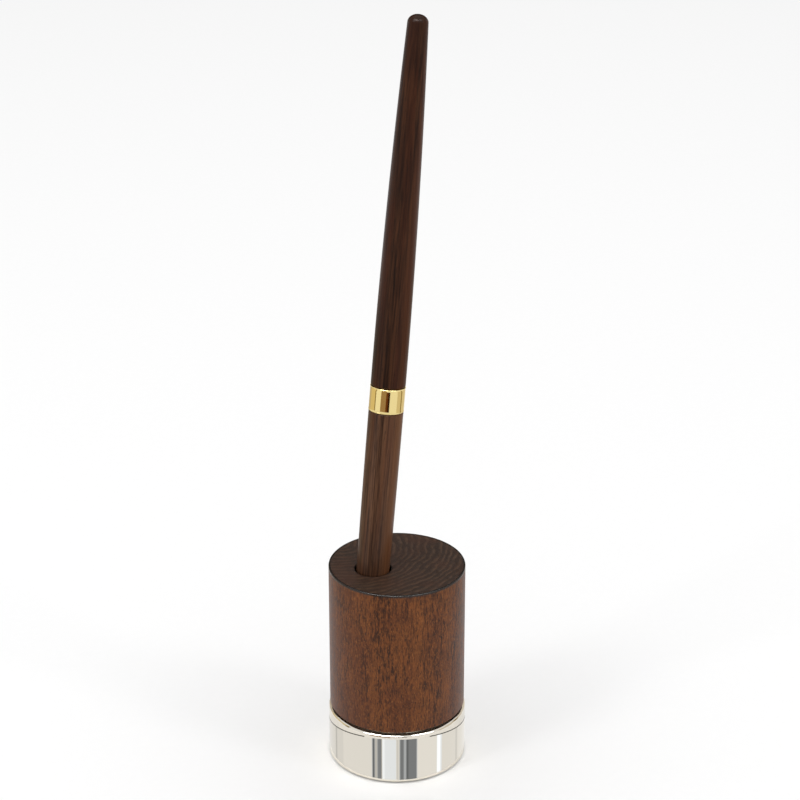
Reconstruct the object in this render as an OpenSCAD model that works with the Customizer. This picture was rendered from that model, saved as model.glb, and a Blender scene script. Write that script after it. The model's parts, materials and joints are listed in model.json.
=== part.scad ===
// Dip pen standing in a round wooden desk stand with a polished metal foot.
// The pen is a turned wooden holder in two lengths with a gold-plated band between
// them. Its steel nib points down into a slanted, stepped well in the wood.
// Millimetres, +Z up. The origin is the centre of the felt pad's underside.
// The pen's own pieces are drawn along +Z with s = 0 where the pen's axis crosses
// the top of the wood, and on_pen_axis() then leans them into place.

/* [Stand] */
// Diameter of the wooden block
block_d = 40; // [38:0.5:48]
// Height of the wooden block
block_h = 45.3; // [45:0.1:70]
// Rounding of the block's top edge
block_round = 0.3; // [0.2:0.1:1.5]
// How far the metal foot stands out beyond the wood, all round
foot_proud = 0.4; // [0:0.1:3]
// Height of the metal foot, without the step that the wood stands on
foot_h = 15.8; // [14:0.1:25]
// Height of the shadow gap between metal and wood
gap_h = 0.8; // [0.3:0.1:1.5]
// How far the felt pad stands proud of the metal
pad_proud = 0.4; // [0.2:0.1:1]

/* [Well] */
// Position of the well's mouth along X
well_x = -6.95; // [-9:0.05:-4]
// Position of the well's mouth along Y
well_y = -2.8; // [-5:0.05:2]
// Diameter of the wide part of the well, which holds the grip
well_d = 10.6; // [10.4:0.1:11.4]
// Diameter of the narrow part of the well, which clears the nib
nib_bore_d = 7.4; // [7.3:0.1:8]
// Lean of the well and the pen from upright, in degrees
lean = 7.5; // [0:0.05:9]
// Direction of the lean, in degrees from +X towards +Y
lean_dir = 52.2; // [20:0.1:70]

/* [Pen] */
// Largest diameter of the wooden holder, at the band
pen_d = 10; // [9:0.1:10.1]
// Height of the band's lower edge above the block, along the pen
band_s = 48.5; // [35:0.5:70]
// Length of the band
band_l = 7.4; // [4:0.1:12]
// Height of the pen's rounded end above the block, along the pen
pen_top_s = 161; // [130:0.1:175]
// Radius of the long arc that the tail tapers along
tail_arc_r = 2525; // [2400:25:6000]
// Radius of the long arc that the grip tapers along
grip_arc_r = 6200; // [4500:20:9000]
// Depth of the grip in the block, along the pen
grip_in = 18; // [14:0.5:19]
// Length of the nib below the grip
nib_out = 21; // [18:0.5:21]

/* [Hidden] */
$fn = 96;
eps = 0.01;         // overlap that keeps cuts clean
slip = 0.03;        // clearance between fixed pieces that fit in each other

// Stand heights
foot_z = pad_proud;
ledge_z = foot_z + foot_h;
block_z = ledge_z + gap_h;
top_z = block_z + block_h;
block_r = block_d / 2;
foot_r = block_r + foot_proud;
step_r = block_r - 1.4;
foot_round = 0.9;
foot_chamfer = 0.3;

// Felt pad in its shallow recess
pad_r = 17.6;
pad_recess = 1.0;
pad_slip = 0.2;

// Button-head screw, washer and brass insert that hold the foot on the block
screw_r = 2.5;
screw_hole_r = 2.75;
head_r = 4.75;
head_h = 2.8;
hex_across_flats = 3;
hex_depth = 1.8;
counterbore_r = 5.8;
counterbore_depth = 5;
washer_r = 5.3;
washer_h = 1;
washer_z = foot_z + pad_recess + counterbore_depth - washer_h;
insert_r = 3.5;
insert_l = 10;
insert_groove = 0.4;
screw_end_clear = 0.6;

// Pen: radii and stations along its axis
wood_r = pen_d / 2;
band_top_s = band_s + band_l;
band_r = wood_r + 0.05;
band_bead = 0.06;
bead_l = 0.55;
tenon_r = 4.2;
stud_r = 2;
stud_in = 11;
dome_l = 2.3;
taper_step = 3;
arc_steps = 12;
edge_steps = 4;

// Drill-point shoulder in the well that the grip's coned front edge stands on
shoulder_rise = tan(31);
seat_gap = 0.06;
grip_front_r = grip_r(-grip_in);
cone_inner_r = 3.95;
cone_l = (grip_front_r - cone_inner_r) * shoulder_rise;
shoulder_s = -grip_in + cone_l - seat_gap + (well_d / 2 - grip_front_r) * shoulder_rise;
nib_clear = 2.6;
nib_bore_s = -grip_in - nib_out - nib_clear;
mouth_extra = 3;

// Nib, the steel sleeve around it and the sprung clip inside it
ferrule_r = 3.85;
ferrule_wall = 0.35;
ferrule_l = 12;
nib_r = 3.4;
nib_wall = 0.25;
nib_in = 10.7;
nib_half_w = 3.05;
tip_half_w = 0.22;
tine_l = 12;
slit_w = 0.12;
vent_r = 0.65;
clip_r = 3.05;
clip_wall = 0.3;
clip_base_l = 1;
clip_slot_w = 1.1;
clip_short = 0.5;

function grip_r(s) = wood_r - pow(band_s - s, 2) / (2 * grip_arc_r);
function tail_r(s) = wood_r - pow(s - band_top_s, 2) / (2 * tail_arc_r);
// Evenly spaced stations from a to b, at most a step apart
function stations(a, b, step) = [for (i = [0 : ceil((b - a) / step)]) a + (b - a) * i / ceil((b - a) / step)];
// Points of an arc of radius r about [x, y], from angle a to angle b
function arc(x, y, r, a, b, steps) =
    [for (i = [0 : steps]) [x + r * cos(a + (b - a) * i / steps), y + r * sin(a + (b - a) * i / steps)]];

// Places what is drawn along +Z on the pen's leaning axis
module on_pen_axis() {
    translate([well_x, well_y, top_z])
        rotate([0, 0, lean_dir])
            rotate([0, lean, 0])
                rotate([0, 0, -lean_dir])
                    children();
}

// A straight round bar of radius r from station a to station b
module bar(r, a, b) {
    translate([0, 0, a])
        cylinder(r = r, h = b - a);
}

// Stepped well: wide bore, drill-point shoulder and narrow bore for the nib
module well_cut() {
    on_pen_axis() {
        bar(well_d / 2, shoulder_s, mouth_extra);
        translate([0, 0, shoulder_s - (well_d - nib_bore_d) / 2 * shoulder_rise])
            cylinder(r1 = nib_bore_d / 2, r2 = well_d / 2, h = (well_d - nib_bore_d) / 2 * shoulder_rise + eps);
        bar(nib_bore_d / 2, nib_bore_s, shoulder_s);
    }
}

// Turned block with a rounded top edge, the slanted well and a hole for the insert
module wood_block() {
    bottom_round = 0.3;
    color("#5a3624")
    difference() {
        rotate_extrude()
            polygon(concat(
                [[0, block_z]],
                arc(block_r - bottom_round, block_z + bottom_round, bottom_round, -90, 0, edge_steps),
                arc(block_r - block_round, top_z - block_round, block_round, 0, 90, edge_steps),
                [[0, top_z]]
            ));
        well_cut();
        bar(insert_r + slip, block_z - eps, block_z + insert_l + 1);
    }
}

// Polished solid foot: rounded rim, a step that lifts the wood, pad recess, screw hole
module foot_weight() {
    color("#d9d4c8")
    difference() {
        rotate_extrude()
            polygon(concat(
                [[0, foot_z], [foot_r - foot_chamfer, foot_z], [foot_r, foot_z + foot_chamfer]],
                arc(foot_r - foot_round, ledge_z - foot_round, foot_round, 0, 90, arc_steps),
                [[step_r, ledge_z], [step_r, block_z], [0, block_z]]
            ));
        bar(pad_r + pad_slip, foot_z - eps, foot_z + pad_recess);
        bar(counterbore_r, foot_z, foot_z + pad_recess + counterbore_depth);
        bar(screw_hole_r, foot_z, block_z + eps);
    }
}

// Round felt pad that the stand rests on
module foot_pad() {
    pad_edge = 0.2;
    color("#26231f")
    rotate_extrude()
        polygon([
            [0, 0], [pad_r - pad_edge, 0], [pad_r, pad_edge], [pad_r, foot_z + pad_recess], [0, foot_z + pad_recess]
        ]);
}

// Button-head machine screw with a hexagon socket
module foot_screw() {
    head_edge = 0.8;
    head_dome = 0.9;
    color("#9a9a9c")
    difference() {
        union() {
            bar(screw_r, washer_z - eps, block_z + insert_l - screw_end_clear);
            rotate_extrude()
                polygon([
                    [0, washer_z - head_h],
                    [head_r - 2 * head_edge, washer_z - head_h],
                    [head_r - head_edge / 2, washer_z - head_h + head_dome],
                    [head_r, washer_z - head_h + 2 * head_dome],
                    [head_r, washer_z],
                    [0, washer_z]
                ]);
        }
        translate([0, 0, washer_z - head_h - eps])
            cylinder(r = hex_across_flats / 2 / cos(30), h = hex_depth, $fn = 6);
    }
}

// Flat washer between the screw's head and the foot
module screw_washer() {
    color("#8d8d90")
    difference() {
        bar(washer_r, washer_z, washer_z + washer_h);
        bar(screw_hole_r, washer_z - eps, washer_z + washer_h + eps);
    }
}

// Brass insert pressed into the underside of the block
module threaded_insert() {
    land = insert_l / 5;
    color("#b8954a")
    difference() {
        union() {
            for (i = [0, 2, 4])
                bar(insert_r, block_z + i * land, block_z + (i + 1) * land);
            bar(insert_r - insert_groove, block_z, block_z + insert_l);
        }
        bar(screw_r + slip, block_z - eps, block_z + insert_l + eps);
    }
}

// Tapering wooden tail with a rounded end and a blind hole for the stud
module tail_barrel() {
    dome_s = pen_top_s - dome_l;
    end_r = tail_r(dome_s);
    color("#3a2318")
    on_pen_axis()
        difference() {
            rotate_extrude()
                polygon(concat(
                    [[0, band_top_s + slip]],
                    [for (s = stations(band_top_s + slip, dome_s, taper_step)) [tail_r(s), s]],
                    [for (i = [1 : arc_steps]) [end_r * cos(90 * i / arc_steps), dome_s + dome_l * sin(90 * i / arc_steps)]]
                ));
            bar(stud_r + slip, band_top_s - eps, band_top_s + stud_in + 1);
        }
}

// Gold-plated band with a raised bead at each edge, sleeved over the grip's tenon
module centre_band() {
    half_bead = bead_l / 2;
    color("#e0b84e")
    on_pen_axis()
        rotate_extrude()
            polygon([
                [tenon_r + slip, band_s + slip],
                [band_r, band_s + slip],
                [band_r + band_bead, band_s + half_bead],
                [band_r, band_s + bead_l],
                [band_r, band_top_s - bead_l],
                [band_r + band_bead, band_top_s - half_bead],
                [band_r, band_top_s],
                [tenon_r + slip, band_top_s]
            ]);
}

// Wooden grip: tenon for the band, long taper, coned front edge, sockets at both ends
module grip() {
    color("#4a2c1e")
    on_pen_axis()
        difference() {
            rotate_extrude()
                polygon(concat(
                    [[0, -grip_in], [cone_inner_r, -grip_in]],
                    [for (s = stations(-grip_in + cone_l, band_s, taper_step)) [grip_r(s), s]],
                    [[tenon_r, band_s], [tenon_r, band_top_s], [0, band_top_s]]
                ));
            bar(ferrule_r + slip, -grip_in - eps, -grip_in + ferrule_l + slip);
            bar(stud_r + slip, band_top_s - stud_in - 1, band_top_s + eps);
        }
}

// Brass stud that joins the grip and the tail inside the band
module joint_stud() {
    color("#b8954a")
    on_pen_axis()
        bar(stud_r, band_top_s - stud_in, band_top_s + stud_in);
}

// Thin steel sleeve in the front of the grip, around the nib's shank
module ferrule() {
    color("#c8c8ca")
    on_pen_axis()
        difference() {
            bar(ferrule_r, -grip_in, -grip_in + ferrule_l);
            bar(ferrule_r - ferrule_wall, -grip_in - eps, -grip_in + ferrule_l + eps);
        }
}

// Sprung clip inside the nib's shank: a base disc with four petals
module nib_clip() {
    clip_top_s = -grip_in + ferrule_l;
    color("#b9babd")
    on_pen_axis()
        difference() {
            union() {
                bar(ferrule_r - ferrule_wall - slip, clip_top_s - clip_base_l, clip_top_s);
                bar(clip_r, -grip_in + clip_short, clip_top_s - clip_base_l + eps);
            }
            bar(clip_r - clip_wall, -grip_in - eps, clip_top_s - clip_base_l);
            for (a = [0, 90])
                rotate([0, 0, a + 45])
                    translate([-clip_r - 1, -clip_slot_w / 2, -grip_in - eps])
                        cube([2 * clip_r + 2, clip_slot_w, ferrule_l - clip_base_l]);
        }
}

// Pointed steel nib: a half tube cut to a leaf outline, with a vent hole and a slit
module nib() {
    tip_s = -grip_in - nib_out;
    base_s = -grip_in + nib_in;
    vent_s = tip_s + tine_l - 2.5;
    base_corner = 1;
    color("#a9acb0")
    on_pen_axis()
        difference() {
            bar(nib_r, tip_s, base_s);
            bar(nib_r - nib_wall, tip_s - eps, base_s + eps);
            // Everything outside the leaf outline
            rotate([90, 0, 0])
                translate([0, 0, -nib_r - 1])
                    linear_extrude(height = 2 * nib_r + 2)
                        difference() {
                            translate([-2 * nib_r, tip_s - 1])
                                square([4 * nib_r, base_s - tip_s + 2]);
                            nib_outline(tip_s, base_s, base_corner);
                        }
            // The open side of the half tube
            translate([-2 * nib_r, -2 * nib_r, tip_s - 1])
                cube([4 * nib_r, 2 * nib_r + 1.4, base_s - tip_s + 2]);
            translate([-slit_w / 2, 0, tip_s - 1])
                cube([slit_w, 2 * nib_r, vent_s - tip_s + 1]);
            translate([0, 0, vent_s])
                rotate([-90, 0, 0])
                    cylinder(r = vent_r, h = 2 * nib_r, $fn = 32);
        }
}

// Flat outline of the nib: tines that narrow to the tip, shoulders, a straight shank
module nib_outline(tip_s, base_s, corner) {
    right_side = [
        for (i = [0 : arc_steps])
            let (t = i / arc_steps)
            [tip_half_w + (nib_half_w - tip_half_w) * pow(t, 1.5), tip_s + tine_l * t]
    ];
    left_side = [for (i = [arc_steps : -1 : 0]) [-right_side[i][0], right_side[i][1]]];
    polygon(concat(
        right_side,
        [[nib_half_w, base_s - corner], [nib_half_w - corner, base_s]],
        [[corner - nib_half_w, base_s], [-nib_half_w, base_s - corner]],
        left_side
    ));
}

wood_block();
foot_weight();
foot_pad();
foot_screw();
screw_washer();
threaded_insert();
tail_barrel();
centre_band();
grip();
joint_stud();
ferrule();
nib_clip();
nib();
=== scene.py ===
"""The looks of a wooden dip pen in its round desk stand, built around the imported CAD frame.

Lengths are written in millimetres and turned into metres by MM. The stand's pieces are
turned about the Z axis. The pen's pieces are turned about its own leaning axis, where a
station s is the distance along the axis above the top of the wooden block.
"""
import json
import math

import bmesh
import bpy
from mathutils import Matrix, Vector, noise


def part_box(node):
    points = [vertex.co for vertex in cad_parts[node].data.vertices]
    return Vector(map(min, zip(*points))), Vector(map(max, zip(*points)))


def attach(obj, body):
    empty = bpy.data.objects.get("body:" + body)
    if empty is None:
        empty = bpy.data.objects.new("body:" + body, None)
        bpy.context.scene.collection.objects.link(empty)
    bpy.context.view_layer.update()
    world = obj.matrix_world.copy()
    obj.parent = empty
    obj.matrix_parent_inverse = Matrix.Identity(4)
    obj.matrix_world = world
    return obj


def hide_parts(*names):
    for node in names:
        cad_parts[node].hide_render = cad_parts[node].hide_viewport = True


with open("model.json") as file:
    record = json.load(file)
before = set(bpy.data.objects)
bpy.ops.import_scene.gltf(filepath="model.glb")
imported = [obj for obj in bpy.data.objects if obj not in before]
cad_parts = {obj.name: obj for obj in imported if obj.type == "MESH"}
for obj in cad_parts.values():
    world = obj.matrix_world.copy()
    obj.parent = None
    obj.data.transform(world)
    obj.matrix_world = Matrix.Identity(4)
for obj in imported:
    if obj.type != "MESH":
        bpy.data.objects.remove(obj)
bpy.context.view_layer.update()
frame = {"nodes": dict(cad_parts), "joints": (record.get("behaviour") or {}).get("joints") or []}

MM = 0.001
SEGMENTS = 192      # steps round the block
PEN_SEGMENTS = 128  # steps round the pen's pieces and its well
SHARP = 35          # an edge that turns by more degrees than this stays sharp
ON_AXIS = 1e-6      # a radius below this is a point on the axis

# ---------------------------------------------------------------- sizes, from the frame
block_low, block_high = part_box("wood_block")
foot_low, foot_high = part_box("foot_weight")
_, pad_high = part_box("foot_pad")
TOP_Z = block_high.z / MM
BLOCK_Z = block_low.z / MM
BLOCK_R = block_high.x / MM
FOOT_Z = foot_low.z / MM
FOOT_R = foot_high.x / MM
PAD_R = pad_high.x / MM
PAD_H = pad_high.z / MM

# Pen axis: where it crosses the top of the block, and its direction
MOUTH = Vector((-6.95, -2.8, TOP_Z))
PEN_DIR = Vector(frame["joints"][0]["axis"]).normalized()

# Stations and radii of the pen, its well and the insert's hole, in mm, as the CAD model has them
GAP = 0.03          # clearance between pieces that fit into each other
WOOD_R = 5.0
BAND_S = 48.5
BAND_L = 7.4
BAND_TOP_S = BAND_S + BAND_L
PEN_TOP_S = 161
DOME_L = 2.3
TAIL_ARC_R = 2525
GRIP_ARC_R = 6200
GRIP_IN = 18
TENON_R = 4.2
STUD_R = 2.03
STUD_IN = 12
FERRULE_R = 3.88
FERRULE_L = 12.03
CONE_R = 3.95
CONE_RISE = math.tan(math.radians(31))
FRONT_R = WOOD_R - (BAND_S + GRIP_IN) ** 2 / (2 * GRIP_ARC_R)
CONE_L = (FRONT_R - CONE_R) * CONE_RISE
WELL_R = 5.3
NIB_BORE_R = 3.7
NIB_BORE_S = -41.6
SHOULDER_S = CONE_L - GRIP_IN - 0.06 + (WELL_R - FRONT_R) * CONE_RISE
INSERT_R = 3.53
INSERT_L = 11


def pen_matrix():
    """The pen's own frame: +Z up its axis and the origin in the mouth of the well."""
    tilt = Vector((0, 0, 1)).rotation_difference(PEN_DIR)
    return Matrix.Translation(MOUTH * MM) @ tilt.to_matrix().to_4x4()


PEN = pen_matrix()


# ---------------------------------------------------------------- mesh helpers
def arc(x, y, r, start, end, steps=8):
    """Points of an arc about (x, y), angles in degrees."""
    turn = [math.radians(start + (end - start) * i / steps) for i in range(steps + 1)]
    return [(x + r * math.cos(a), y + r * math.sin(a)) for a in turn]


def lathe(name, outline, matrix=None, segments=SEGMENTS, sharp=SHARP):
    """A closed solid turned about Z from an outline of (radius, height) points in mm.

    An outline that starts off the axis is a ring's, and it closes on itself.
    """
    made = bmesh.new()
    rings = []
    for r, z in outline:
        if r < ON_AXIS:
            rings.append([made.verts.new((0, 0, z * MM))])
            continue
        turn = [2 * math.pi * i / segments for i in range(segments)]
        rings.append([made.verts.new((r * MM * math.cos(a), r * MM * math.sin(a), z * MM)) for a in turn])
    pairs = list(zip(rings, rings[1:]))
    if outline[0][0] > ON_AXIS:
        pairs.append((rings[-1], rings[0]))
    for low, high in pairs:
        for i in range(segments):
            j = (i + 1) % segments
            if len(low) == 1:
                made.faces.new((low[0], high[j], high[i]))
            elif len(high) == 1:
                made.faces.new((low[i], low[j], high[0]))
            else:
                made.faces.new((low[i], low[j], high[j], high[i]))
    bmesh.ops.recalc_face_normals(made, faces=made.faces)
    return finish_mesh(name, made, matrix, sharp)


def finish_mesh(name, made, matrix=None, sharp=SHARP):
    """Turns a bmesh into a smooth-shaded object, with its place in its mesh."""
    data = bpy.data.meshes.new(name)
    made.to_mesh(data)
    made.free()
    if matrix is not None:
        data.transform(matrix)
    data.shade_smooth()
    data.set_sharp_from_angle(angle=math.radians(sharp))
    piece = bpy.data.objects.new(name, data)
    bpy.context.scene.collection.objects.link(piece)
    return piece


def cut(piece, *tools):
    """Cuts the tools out of the piece and removes them."""
    for tool in tools:
        step = piece.modifiers.new("cut", "BOOLEAN")
        step.operation = "DIFFERENCE"
        step.solver = "EXACT"
        step.object = tool
        apply_modifiers(piece)
        bpy.data.objects.remove(tool)
    piece.data.shade_smooth()
    piece.data.set_sharp_from_angle(angle=math.radians(SHARP))


def apply_modifiers(piece):
    """Replaces the piece's mesh with its evaluated one."""
    bpy.context.view_layer.update()
    graph = bpy.context.evaluated_depsgraph_get()
    data = bpy.data.meshes.new_from_object(piece.evaluated_get(graph))
    piece.modifiers.clear()
    piece.data = data


def place(piece, body, slot, material, *nodes):
    """Puts a finished piece on its body, in place of the CAD nodes; slot is not used."""
    piece.data.materials.clear()
    piece.data.materials.append(material)
    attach(piece, body)
    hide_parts(*nodes)


# ---------------------------------------------------------------- material helpers
class Shader:
    """A material's node tree, built by short calls."""

    def __init__(self, name):
        self.material = bpy.data.materials.new(name)
        self.material.use_nodes = True
        self.tree = self.material.node_tree
        self.bsdf = self.tree.nodes["Principled BSDF"]

    def node(self, kind, settings=None, **sockets):
        """A node of that kind, with its settings and its input sockets by name."""
        made = self.tree.nodes.new(kind)
        for key, value in (settings or {}).items():
            setattr(made, key, value)
        for key, value in sockets.items():
            self.put(made.inputs[key.replace("_", " ")], value)
        return made

    def put(self, socket, value):
        """Links an output to the socket, or sets its value."""
        if isinstance(value, bpy.types.NodeSocket):
            self.tree.links.new(value, socket)
        else:
            socket.default_value = value

    def math(self, operation, a, b=0.0):
        """The result of a sum on one or two numbers."""
        made = self.tree.nodes.new("ShaderNodeMath")
        made.operation = operation
        self.put(made.inputs[0], a)
        self.put(made.inputs[1], b)
        return made.outputs[0]

    def mix(self, share, a, b):
        """Mixes two colours: a where share is 0, and b where it is 1."""
        made = self.tree.nodes.new("ShaderNodeMix")
        made.data_type = "RGBA"
        self.put(made.inputs["Factor"], share)
        self.put(made.inputs["A"], a)
        self.put(made.inputs["B"], b)
        return made.outputs["Result"]

    def ramp(self, value, low, high):
        """0 below low and 1 above high, smooth in between."""
        made = self.tree.nodes.new("ShaderNodeMapRange")
        made.interpolation_type = "SMOOTHSTEP"
        self.put(made.inputs["Value"], value)
        made.inputs["From Min"].default_value = low
        made.inputs["From Max"].default_value = high
        return made.outputs["Result"]

    def coords(self, scale, matrix=None):
        """Object coordinates in the frame of matrix, times scale (x, y, z) per millimetre."""
        place = self.tree.nodes.new("ShaderNodeTexCoord").outputs["Object"]
        if matrix is not None:
            back = matrix.inverted()
            turned = self.node("ShaderNodeMapping", {"vector_type": "POINT"}, Vector=place)
            turned.inputs["Location"].default_value = back.to_translation()
            turned.inputs["Rotation"].default_value = back.to_euler()
            place = turned.outputs[0]
        scaled = self.node("ShaderNodeMapping", {"vector_type": "POINT"}, Vector=place)
        scaled.inputs["Scale"].default_value = [s / MM for s in scale]
        return scaled.outputs[0]

    def length(self, vector):
        """A vector's length."""
        made = self.node("ShaderNodeVectorMath", {"operation": "LENGTH"})
        self.put(made.inputs[0], vector)
        return made.outputs["Value"]

    def noise(self, vector, detail=2.0, roughness=0.5, distortion=0.0):
        """Smooth noise about one unit of the vector in size."""
        made = self.node("ShaderNodeTexNoise", Vector=vector, Scale=1.0, Detail=detail)
        made.inputs["Roughness"].default_value = roughness
        made.inputs["Distortion"].default_value = distortion
        return made.outputs["Fac"]

    def bump(self, height, strength, distance):
        """Roughens the surface by a height; distance is in mm."""
        made = self.node("ShaderNodeBump", Height=height, Strength=strength, Distance=distance * MM)
        self.put(self.bsdf.inputs["Normal"], made.outputs[0])

    def base(self, **sockets):
        """Sets the Principled shader's sockets by name."""
        for key, value in sockets.items():
            self.put(self.bsdf.inputs[key.replace("_", " ")], value)


def rgb(r, g, b):
    """A linear colour from display values of 0 to 255."""
    def linear(v):
        v = v / 255
        return v / 12.92 if v <= 0.04045 else ((v + 0.055) / 1.055) ** 2.4
    return (linear(r), linear(g), linear(b), 1.0)


# ---------------------------------------------------------------- materials
def block_wood():
    """Stained fine-grained hardwood: short dark pores, soft streaks, faint rings on its ends."""
    m = Shader("block_wood")
    pith = Vector((-17, 12.5, 0))
    ring_pitch = 1.9
    # Growth rings round a pith that runs up the block
    warp = m.noise(m.coords((0.11, 0.11, 0.02)), detail=2)
    at = m.node("ShaderNodeMapping", Vector=m.coords((1, 1, 0)))
    at.inputs["Location"].default_value = -pith
    distance = m.math("ADD", m.length(at.outputs[0]), m.math("MULTIPLY", warp, 4.5))
    ring = m.math("FRACT", m.math("DIVIDE", distance, ring_pitch))
    late_wood = m.math("MULTIPLY", m.ramp(ring, 0.35, 0.85), m.math("SUBTRACT", 1.0, m.ramp(ring, 0.9, 1.0)))
    # Pores are thin dark dashes along the grain, and flecks are shorter and pale
    pores = m.ramp(m.noise(m.coords((4.0, 4.0, 0.8)), detail=2, roughness=0.6), 0.53, 0.68)
    flecks = m.ramp(m.noise(m.coords((2.6, 2.6, 1.0)), detail=3, roughness=0.65), 0.50, 0.70)
    fibres = m.noise(m.coords((2.0, 2.0, 0.3)), detail=5, roughness=0.65)
    streaks = m.noise(m.coords((0.30, 0.30, 0.035)), detail=3, roughness=0.55)
    clouds = m.noise(m.coords((0.10, 0.10, 0.06)), detail=2)
    # Colour of the sides
    side = m.mix(m.ramp(fibres, 0.40, 0.60), rgb(50, 24, 9), rgb(112, 62, 26))
    side = m.mix(m.math("MULTIPLY", m.ramp(streaks, 0.42, 0.68), 0.45), side, rgb(126, 72, 30))
    side = m.mix(m.math("MULTIPLY", m.ramp(clouds, 0.38, 0.66), 0.5), side, rgb(80, 39, 18))
    side = m.mix(m.math("MULTIPLY", flecks, 0.5), side, rgb(146, 90, 42))
    side = m.mix(m.math("MULTIPLY", pores, 0.8), side, rgb(31, 14, 7))
    # Colour of the end grain, which takes more stain
    faint = m.math("MULTIPLY", late_wood, m.ramp(m.noise(m.coords((0.5, 0.5, 0.1)), detail=2), 0.25, 0.65))
    end = m.mix(m.math("MULTIPLY", faint, 0.85), rgb(51, 36, 27), rgb(88, 66, 50))
    end = m.mix(m.math("MULTIPLY", m.ramp(clouds, 0.4, 0.7), 0.4), end, rgb(76, 44, 30))
    end = m.mix(m.math("MULTIPLY", flecks, 0.3), end, rgb(104, 80, 62))
    end = m.mix(m.math("MULTIPLY", pores, 0.6), end, rgb(20, 12, 9))
    up = m.node("ShaderNodeSeparateXYZ")
    m.put(up.inputs[0], m.tree.nodes.new("ShaderNodeNewGeometry").outputs["Normal"])
    flat = m.ramp(m.math("ABSOLUTE", up.outputs["Z"]), 0.25, 0.6)
    colour = m.mix(flat, side, end)
    # The rounded top edge is painted near black as a painted dark reflection, and is glossier; the well is
    # painted dark as painted shade
    out = m.length(m.coords((1, 1, 0)))
    height = m.node("ShaderNodeSeparateXYZ")
    m.put(height.inputs[0], m.coords((1, 1, 1)))
    edge = m.math("MULTIPLY", m.ramp(out, BLOCK_R - 0.75, BLOCK_R - 0.35),
                  m.ramp(height.outputs["Z"], TOP_Z - 0.9, TOP_Z - 0.3))
    # Painted dark reflection: the rounded top edge is coloured near black
    colour = m.mix(m.math("MULTIPLY", edge, 0.9), colour, rgb(16, 10, 8))
    # Painted shade: the well's wall and mouth are coloured near black, where shade falls in the hole
    from_pen = m.length(m.coords((1, 1, 0), PEN))
    well_shade_mask = m.math("SUBTRACT", 1.0, m.ramp(from_pen, WELL_R + 0.15, WELL_R + 0.45))
    colour = m.mix(m.math("MULTIPLY", well_shade_mask, 0.85), colour, rgb(18, 11, 8))
    m.base(Base_Color=colour, Specular_IOR_Level=m.math("ADD", m.math("MULTIPLY", edge, 0.22), 0.2))
    gloss = m.math("ADD", m.math("MULTIPLY", fibres, 0.2), 0.30)
    m.base(Roughness=m.math("SUBTRACT", gloss, m.math("MULTIPLY", edge, 0.2)))
    relief = m.math("SUBTRACT", m.math("MULTIPLY", fibres, 0.35), pores)
    m.bump(relief, 0.35, 0.05)
    return m.material


def pen_wood(name, dark, light, vein, shade, strip_light, lustre):
    """Dark hardwood with its grain along the pen; lustre is how strongly its finish reflects."""
    m = Shader(name)
    fibres = m.noise(m.coords((1.9, 1.9, 0.05), PEN), detail=5, roughness=0.6)
    bands = m.noise(m.coords((0.42, 0.42, 0.012), PEN), detail=3, distortion=0.3)
    pores = m.ramp(m.noise(m.coords((4.5, 4.5, 0.28), PEN), detail=2), 0.57, 0.70)
    clouds = m.noise(m.coords((0.12, 0.12, 0.03), PEN), detail=2)
    colour = m.mix(m.ramp(fibres, 0.3, 0.7), dark, light)
    colour = m.mix(m.math("MULTIPLY", m.ramp(bands, 0.45, 0.65), 0.5), colour, vein)
    colour = m.mix(m.math("MULTIPLY", m.ramp(clouds, 0.4, 0.65), 0.4), colour, shade)
    colour = m.mix(m.math("MULTIPLY", pores, 0.55), colour, rgb(22, 12, 8))
    # The colour turns paler down the +X side, with a wandering edge
    across = m.node("ShaderNodeSeparateXYZ")
    m.put(across.inputs[0], m.coords((1, 1, 1), PEN))
    wander = m.math("MULTIPLY", m.noise(m.coords((0.2, 0.2, 0.03), PEN), detail=2), 3.0)
    strip = m.ramp(m.math("ADD", across.outputs["X"], wander), 2.6, 5.2)
    colour = m.mix(m.math("MULTIPLY", strip, 0.55), colour, m.mix(fibres, vein, strip_light))
    m.base(Base_Color=colour, Specular_IOR_Level=lustre)
    m.base(Roughness=m.math("ADD", m.math("MULTIPLY", fibres, 0.16), 0.24))
    m.bump(m.math("SUBTRACT", m.math("MULTIPLY", fibres, 0.3), pores), 0.3, 0.04)
    return m.material


def metal(name, colour, roughness, smudge, scratch_scale, scratch):
    """Metal with faint smudges, and fine marks as close as scratch_scale says."""
    m = Shader(name)
    smudges = m.noise(m.coords((0.2, 0.2, 0.2)), detail=4, roughness=0.6)
    marks = m.noise(m.coords(scratch_scale), detail=2)
    m.base(Base_Color=colour, Metallic=1.0)
    m.base(Roughness=m.math("ADD", m.math("MULTIPLY", smudges, smudge), roughness))
    m.bump(marks, scratch, 0.01)
    return m.material


def felt():
    """Short dark fibres pressed into a pad."""
    m = Shader("felt")
    hairs = m.noise(m.coords((3, 3, 3)), detail=5, roughness=0.7, distortion=1.5)
    patches = m.noise(m.coords((0.3, 0.3, 0.3)), detail=3)
    colour = m.mix(m.ramp(hairs, 0.3, 0.7), rgb(28, 26, 24), rgb(74, 70, 66))
    colour = m.mix(m.math("MULTIPLY", patches, 0.3), colour, rgb(40, 37, 34))
    m.base(Base_Color=colour, Roughness=0.95, Sheen_Weight=0.4, Sheen_Roughness=0.5)
    m.bump(hairs, 0.8, 0.12)
    return m.material


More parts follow.
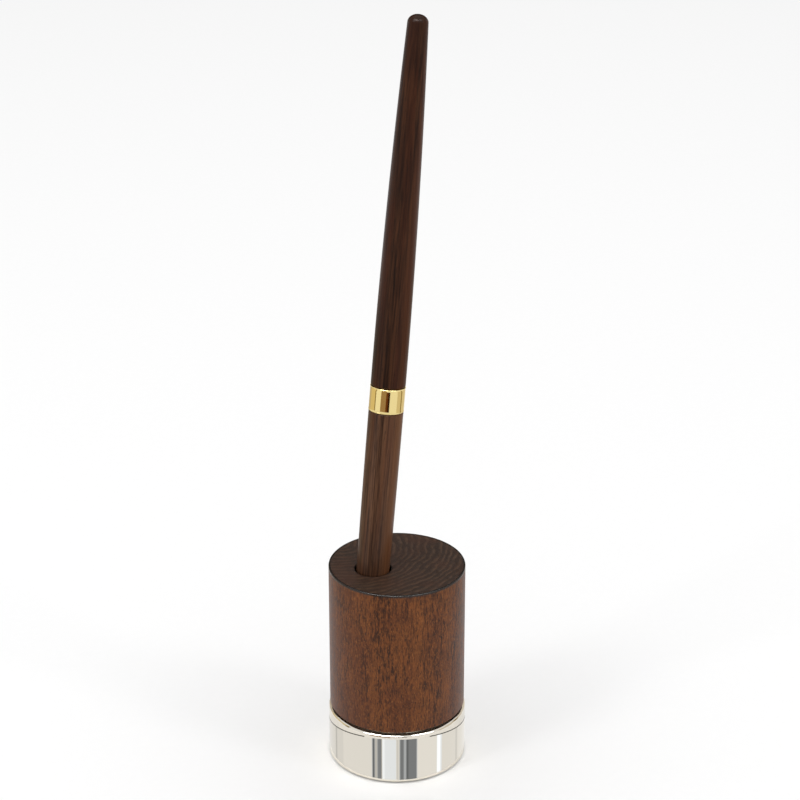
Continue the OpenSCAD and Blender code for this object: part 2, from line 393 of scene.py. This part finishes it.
BLOCK_WOOD = block_wood()
TAIL_WOOD = pen_wood(
    "tail_wood", rgb(24, 10, 5), rgb(72, 42, 24), rgb(64, 29, 13), rgb(22, 12, 8), rgb(88, 50, 27), 0.1)
GRIP_WOOD = pen_wood(
    "grip_wood", rgb(44, 25, 16), rgb(99, 67, 46), rgb(90, 53, 31), rgb(48, 31, 22), rgb(118, 78, 48), 0.16)
NICKEL = metal("polished_nickel", rgb(232, 226, 214), 0.04, 0.04, (0.05, 0.05, 8), 0.03)
GOLD = metal("gold_plate", rgb(248, 226, 158), 0.05, 0.05, (0.1, 0.1, 9), 0.04)
BRASS = metal("brass", rgb(206, 172, 98), 0.22, 0.15, (0.2, 0.2, 6), 0.2)
STEEL = metal("steel", rgb(190, 190, 192), 0.24, 0.15, (0.3, 0.3, 6), 0.2)
NIB_STEEL = metal("nib_steel", rgb(176, 178, 182), 0.16, 0.12, (6, 6, 0.4), 0.15)
FELT = felt()


# ---------------------------------------------------------------- the stand
def make_block():
    """The turned block with its rounded edges, slanted well and hole for the insert."""
    edge, mouth_edge = 0.3, 0.18
    over = 3            # how far the well's cutter runs out of the top
    under = 1           # how far the insert's cutter runs out of the bottom
    outline = (
        [(0, BLOCK_Z)]
        + arc(BLOCK_R - edge, BLOCK_Z + edge, edge, -90, 0, 5)
        + arc(BLOCK_R - edge, TOP_Z - edge, edge, 0, 90, 8)
        + [(0, TOP_Z)]
    )
    block = lathe("block", outline)
    shoulder_low = SHOULDER_S - (WELL_R - NIB_BORE_R) * CONE_RISE
    well = lathe(
        "well",
        [(0, NIB_BORE_S), (NIB_BORE_R, NIB_BORE_S), (NIB_BORE_R, shoulder_low),
         (WELL_R, SHOULDER_S), (WELL_R, over), (0, over)],
        PEN, PEN_SEGMENTS,
    )
    hole_low, hole_high = BLOCK_Z - under, BLOCK_Z + INSERT_L
    insert_hole = lathe(
        "insert_hole",
        [(0, hole_low), (INSERT_R, hole_low), (INSERT_R, hole_high), (0, hole_high)],
        None, 64,
    )
    cut(block, well, mouth_cutter(mouth_edge), insert_hole)
    # The level faces are shaded flat, so that the cuts leave no marks in their shading
    level = 0.9999      # the least upward or downward share of a level face's normal
    for face in block.data.polygons:
        if abs(face.normal.z) > level:
            face.use_smooth = False
    place(block, "stand", "block_wood", BLOCK_WOOD, "wood_block")


def mouth_cutter(width):
    """A flared plug, stretched to the well's oval mouth, that rounds the mouth's edge."""
    depth, narrower = 0.6, 0.4      # its lower end stays clear of the well's wall
    above = 0.5
    outline = (
        [(0, -depth), (WELL_R - narrower, -depth)]
        + arc(WELL_R + width, -width, width, 180, 100, 4)
        + [(WELL_R + 0.83 * width, above), (0, above)]      # straight up from the arc's end
    )
    turn = Matrix.Rotation(math.atan2(PEN_DIR.y, PEN_DIR.x), 4, "Z")
    stretch = Matrix.Diagonal((1 / PEN_DIR.z, 1, 1, 1))
    where = Matrix.Translation(MOUTH * MM) @ turn @ stretch
    return lathe("mouth_cutter", outline, where, PEN_SEGMENTS)


def make_pad():
    """Felt disc with a soft edge and a slightly uneven underside that never goes below the desk."""
    edge = 0.35
    rings = 24
    uneven, grain = 0.03, 900       # half the lift's height in mm, and its waves per metre
    outline = (
        [(0, 0)] + [(PAD_R * i / rings, 0) for i in range(1, rings - 1)]
        + arc(PAD_R - edge, edge, edge, -90, 0, 4)
        + [(PAD_R, PAD_H), (0, PAD_H)]
    )
    pad = lathe("felt_pad", outline, None, 96)
    for v in pad.data.vertices:
        if v.co.z < PAD_H * MM * 0.5:
            lift = noise.noise(Vector(v.co) * grain)
            v.co.z += uneven * MM * (1 + lift)
    place(pad, "stand", "felt", FELT, "foot_pad")


# ---------------------------------------------------------------- the pen
def tail_radius(s):
    """The tail's radius at a station."""
    return WOOD_R - (s - BAND_TOP_S) ** 2 / (2 * TAIL_ARC_R)


def grip_radius(s):
    """The grip's radius at a station."""
    return WOOD_R - (BAND_S - s) ** 2 / (2 * GRIP_ARC_R)


def stations(start, end, count):
    """Evenly spaced stations, both ends included."""
    return [start + (end - start) * i / count for i in range(count + 1)]


def make_tail():
    """Tapering tail with a rounded end; its lower end is eased where it meets the band."""
    ease = 0.35
    start = BAND_TOP_S + GAP
    dome_s = PEN_TOP_S - DOME_L
    dome_l = DOME_L - 0.01      # a hair short, so that its top stays inside the CAD model's box
    dome_steps = 20
    turn = [math.pi / 2 * i / dome_steps for i in range(1, dome_steps)]
    end_r = tail_radius(dome_s)
    outline = (
        [(0, start + STUD_IN), (STUD_R, start + STUD_IN), (STUD_R, start)]
        + [(tail_radius(start) - ease, start), (tail_radius(start), start + ease)]
        + [(tail_radius(s), s) for s in stations(start + 1, dome_s, 80)]
        + [(end_r * math.cos(a), dome_s + dome_l * math.sin(a)) for a in turn]
        + [(0, dome_s + dome_l)]
    )
    tail = lathe("tail", outline, PEN, PEN_SEGMENTS)
    place(tail, "holder", "tail_wood", TAIL_WOOD, "tail_barrel")


def make_grip():
    """Grip with its tenon, the two sockets and the coned front edge."""
    ease = 0.3
    front = -GRIP_IN
    outline = (
        [(0, front + FERRULE_L), (FERRULE_R, front + FERRULE_L), (FERRULE_R, front), (CONE_R, front)]
        + [(grip_radius(s), s) for s in stations(front + CONE_L, BAND_S - 1, 60)]
        + [(WOOD_R, BAND_S - ease), (WOOD_R - ease, BAND_S), (TENON_R, BAND_S), (TENON_R, BAND_TOP_S)]
        + [(STUD_R, BAND_TOP_S), (STUD_R, BAND_TOP_S - STUD_IN), (0, BAND_TOP_S - STUD_IN)]
    )
    grip = lathe("grip_wood", outline, PEN, PEN_SEGMENTS)
    place(grip, "holder", "grip_wood", GRIP_WOOD, "grip")


def make_band():
    """Gold-plated band: a slightly crowned sleeve with a rolled bead at each edge."""
    inner = TENON_R + GAP
    bead_l, bead_h, lip = 0.4, 0.065, 0.2
    crown_h = 0.012
    bead_steps, crown_steps = 8, 12
    body_r = WOOD_R + 0.045
    low, high = BAND_S + GAP, BAND_TOP_S
    body_l = high - low - 2 * bead_l
    crown = [
        (body_r + crown_h * math.sin(math.pi * i / crown_steps), low + bead_l + body_l * i / crown_steps)
        for i in range(crown_steps + 1)
    ]
    # Each bead swells out from the body, and its outer half turns in to a small lip at the wood
    bead = []
    for i in range(bead_steps):
        turned_in = lip * (1 - 2 * i / bead_steps) ** 2 if i < bead_steps / 2 else 0
        bead.append((bead_h * math.sin(math.pi * i / bead_steps) - turned_in, bead_l * i / bead_steps))
    low_bead = [(body_r + k, low + t) for k, t in bead]
    high_bead = [(body_r + k, high - t) for k, t in reversed(bead)]
    outline = [(inner, low)] + low_bead + crown + high_bead + [(inner, high)]
    band = lathe("gold_band", outline, PEN, 160, sharp=50)
    place(band, "holder", "gold_plate", GOLD, "centre_band")


# ---------------------------------------------------------------- studio
def look_matrix(place_mm, pitch, yaw, roll):
    """Camera matrix from its place and its angles in degrees; pitch is down, yaw to the right."""
    p, y, r = (math.radians(a) for a in (pitch, yaw, roll))
    ahead = Vector((math.sin(y) * math.cos(p), math.cos(y) * math.cos(p), -math.sin(p)))
    right = Vector((math.cos(y), -math.sin(y), 0))
    up = right.cross(ahead)
    turned_right = math.cos(r) * right + math.sin(r) * up
    turned_up = math.cos(r) * up - math.sin(r) * right
    turn = Matrix((turned_right, turned_up, -ahead)).transposed().to_4x4()
    return Matrix.Translation(Vector(place_mm) * MM) @ turn


def make_camera():
    """The camera as it was fitted to the picture."""
    data = bpy.data.cameras.new("camera")
    data.sensor_width = 36
    data.lens = 103.29
    data.clip_start = 0.01
    data.clip_end = 50
    camera = bpy.data.objects.new("camera", data)
    bpy.context.scene.collection.objects.link(camera)
    camera.matrix_world = look_matrix((0, -594.8, 373.8 + FOOT_Z), 23.596, 0.085, 0.0)
    bpy.context.scene.camera = camera


def area_light(name, place_m, target_m, width, height, power):
    """A soft white light that faces a point."""
    data = bpy.data.lights.new(name, "AREA")
    data.shape = "RECTANGLE"
    data.size, data.size_y = width, height
    data.energy = power
    light = bpy.data.objects.new(name, data)
    bpy.context.scene.collection.objects.link(light)
    light.location = place_m
    light.rotation_mode = "QUATERNION"
    light.rotation_quaternion = (Vector(target_m) - Vector(place_m)).to_track_quat("-Z", "Y")


def make_floor():
    """A plain pale floor."""
    radius_m = 6
    made = bmesh.new()
    bmesh.ops.create_circle(made, cap_ends=True, segments=96, radius=radius_m)
    floor = finish_mesh("floor", made)
    m = Shader("floor")
    grain = m.noise(m.coords((0.4, 0.4, 0.4)), detail=2)
    pale = m.mix(grain, (0.94, 0.94, 0.94, 1), (0.96, 0.96, 0.96, 1))
    m.base(Base_Color=pale, Roughness=0.7, Specular_IOR_Level=0)
    floor.data.materials.append(m.material)


def glow(name, colour):
    """A plain material that gives off an even light."""
    made = bpy.data.materials.new(name)
    made.use_nodes = True
    nodes = made.node_tree.nodes
    nodes.remove(nodes["Principled BSDF"])
    light = nodes.new("ShaderNodeEmission")
    light.inputs["Color"].default_value = (*colour, 1)
    made.node_tree.links.new(light.outputs[0], nodes["Material Output"].inputs["Surface"])
    return made


def grey(level):
    """A neutral colour."""
    return (level, level, level)


def cool(level):
    """Grey that turns a little blue where it is very pale or very dark."""
    blue = 0.07 if level > 0.97 or level < 0.6 else 0.0
    return (level * (1 - blue), level, level * (1 + 1.6 * blue))


def only_in_gloss(piece):
    """Makes a studio panel that only polished and lacquered surfaces reflect."""
    piece.visible_camera = False
    piece.visible_diffuse = False
    piece.visible_shadow = False
    piece.visible_transmission = False


def panel_ring(name, radius, start, panels, where=float):
    """Upright panels on a ring round the stand, as (end angle, colour, bottom, top).

    Each runs from where the last one ended. where() turns its angles into places on the
    ring, in degrees from -Y towards +X. A bottom or a top is a height or a function of the
    angle. A panel with no colour is a gap.
    """
    step = 3            # degrees, the widest face

    def corner(angle, height):
        """A corner of a face at that angle; its height is a number or a function of the angle."""
        turn = math.radians(where(angle))
        z = height(angle) if callable(height) else height
        return made.verts.new((radius * MM * math.sin(turn), -radius * MM * math.cos(turn), z * MM))

    made = bmesh.new()
    colours = sorted({colour for _, colour, _, _ in panels if colour})
    for end, colour, low, high in panels:
        steps = max(1, math.ceil((end - start) / step))
        for i in range(steps if colour else 0):
            near, far = (start + (end - start) * k / steps for k in (i, i + 1))
            corners = ((near, low), (far, low), (far, high), (near, high))
            face = made.faces.new([corner(*each) for each in corners])
            face.material_index = colours.index(colour)
        start = end
    ring = finish_mesh(name, made)
    for i, colour in enumerate(colours):
        ring.data.materials.append(glow(name + "_%d" % i, colour))
    only_in_gloss(ring)


def make_foot_panels():
    """Panels close round the foot, which its polish shows as upright streaks.

    Their angles are those of the foot's side that shows them. Their tops fall away to the
    left and right, under a thin dark line, as a low horizon does in a polished cylinder.
    """
    radius = FOOT_R + 0.9
    low = 0.7
    front_top = BLOCK_Z - 2.1    # a little below the foot's rounded rim
    sag, line = 4.7, 0.35
    down = math.tan(math.radians(23.6))     # how steeply the camera looks down

    def reach(angle):
        """How far a level ray that leaves the side at that angle runs before it meets the ring."""
        along = FOOT_R * abs(math.cos(math.radians(angle)))
        return math.sqrt(along * along + radius * radius - FOOT_R * FOOT_R) - along

    def mirrored(angle):
        """The place on the ring that the side shows at that angle, seen from the front."""
        a = math.radians(angle)
        x = FOOT_R * math.sin(a) + reach(angle) * math.sin(2 * a)
        y = FOOT_R * math.cos(a) + reach(angle) * math.cos(2 * a)
        return math.degrees(math.atan2(x, y))

    def where(angle):
        """The place on the ring: mirrored in front, and spread evenly over the rest behind."""
        edge = mirrored(90)
        return mirrored(angle) if angle <= 90 else edge + (angle - 90) * (360 - 2 * edge) / 180

    def top(angle):
        """The panels' top: it sags to the sides, and drops as the view does on its way to the ring."""
        return front_top - sag * (1 - abs(math.cos(math.radians(angle)))) - reach(angle) * down

    def line_top(angle):
        """The top of the thin dark line above the panels."""
        return top(angle) + line

    # Each streak's end angle and how bright it is
    streaks = [
        (-63.7, 0.84), (-61.1, 0.61), (-51.5, 0.81), (-20.9, 0.89), (-18.9, 0.18), (-16.3, 0.62),
        (-12.6, 0.27), (-10.3, 1.16), (-0.4, 1.0), (0.5, 0.66), (2.3, 0.82), (5.6, 0.24), (7.6, 0.54),
        (9.4, 0.16), (16.6, 0.25), (35.4, 0.93), (38.4, 1.4), (40.0, 1.1), (58.2, 0.89), (61.4, 0.76),
        (90, 0.92), (102, 0.40), (138, 0.85), (148, 0.30), (172, 0.95), (205, 0.85), (213, 0.28),
        (243, 0.90), (252, 0.55), (270, 0.84),
    ]
    soft = 0.35         # half the width of the step between two streaks
    panels = []
    for (end, level), (_, after) in zip(streaks, streaks[1:] + [streaks[-1]]):
        panels.append((end - soft, cool(level), low, top))
        panels.append((end + soft, cool((level + after) / 2), low, top))
    panel_ring("foot_panels", radius, -90, panels, where)
    dark = [(-28, grey(0.12), top, line_top), (28, None, 0, 0), (270, grey(0.12), top, line_top)]
    panel_ring("foot_line", radius, -90, dark, where)


def make_band_panels():
    """Panels farther out, which the band and the pen's lacquer show as streaks."""
    radius, foot, middle, head = 150, 0, 40, 100
    brown, russet, black = (0.34, 0.23, 0.14), (0.13, 0.04, 0.01), (0.03, 0.01, 0.003)
    tan, line = (0.70, 0.60, 0.40), (0.26, 0.20, 0.10)
    panels = [
        (-124, (0.54, 0.48, 0.40), foot), (-84, tan, foot), (-77, line, foot), (-42, grey(0.90), foot),
        (-9, brown, foot), (3, russet, middle), (15, black, middle), (66, grey(0.87), foot),
        (98, (0.66, 0.60, 0.50), foot), (108, line, foot), (156, (0.70, 0.64, 0.56), foot),
    ]
    panel_ring("band_panels", radius, -162, [(*panel, head) for panel in panels])


def make_flag(name, place_m, width, height, colour):
    """A flat panel, with its size in metres, that faces the stand."""
    facing_m = (0, 0, 0.06)
    made = bmesh.new()
    x, y = width / 2, height / 2
    made.faces.new([made.verts.new(c) for c in ((-x, -y, 0), (x, -y, 0), (x, y, 0), (-x, y, 0))])
    away = (Vector(facing_m) - Vector(place_m)).to_track_quat("Z", "Y").to_matrix().to_4x4()
    flag = finish_mesh(name, made, Matrix.Translation(place_m) @ away)
    flag.data.materials.append(glow(name, colour))
    only_in_gloss(flag)


def make_flags():
    """A dark panel behind, and two bright ones that the foot's rounded rim shows."""
    make_flag("back_flag", (0, 1.1, 0.65), 1.8, 0.8, grey(0.03))
    make_flag("rim_flag_left", (-0.22, -0.40, 1.0), 0.66, 0.3, grey(18))
    make_flag("rim_flag_right", (0.45, -0.36, 1.0), 0.28, 0.3, grey(12))


def make_world():
    """An even white surrounding."""
    world = bpy.data.worlds.new("studio")
    world.use_nodes = True
    back = world.node_tree.nodes["Background"]
    back.inputs["Color"].default_value = (1, 1, 1, 1)
    back.inputs["Strength"].default_value = 0.84
    bpy.context.scene.world = world


def make_lights():
    """A softbox on each side, and a wide one above the floor behind the stand."""
    stand = (0, 0, 0.08)
    area_light("left_softbox", (-0.75, -0.55, 0.9), stand, 0.3, 0.4, 1.9)
    area_light("right_softbox", (0.8, -0.45, 0.85), stand, 0.25, 0.35, 1.3)
    area_light("top_softbox", (0, 0.45, 1.5), (0, 0.45, 0), 1.4, 1.2, 3.1)


def dress_cad_nodes():
    """Gives the CAD nodes that stay visible their materials."""
    dress = {
        "foot_weight": NICKEL, "foot_screw": STEEL, "screw_washer": STEEL, "threaded_insert": BRASS,
        "joint_stud": BRASS, "ferrule": STEEL, "nib_clip": STEEL, "nib": NIB_STEEL,
    }
    for node, material in dress.items():
        slots = frame["nodes"][node].data.materials
        slots.clear()
        slots.append(material)


make_camera()
make_world()
make_lights()
make_floor()
make_foot_panels()
make_band_panels()
make_flags()
make_block()
make_pad()
make_tail()
make_grip()
make_band()
dress_cad_nodes()

bpy.context.scene.view_settings.view_transform = "Standard"
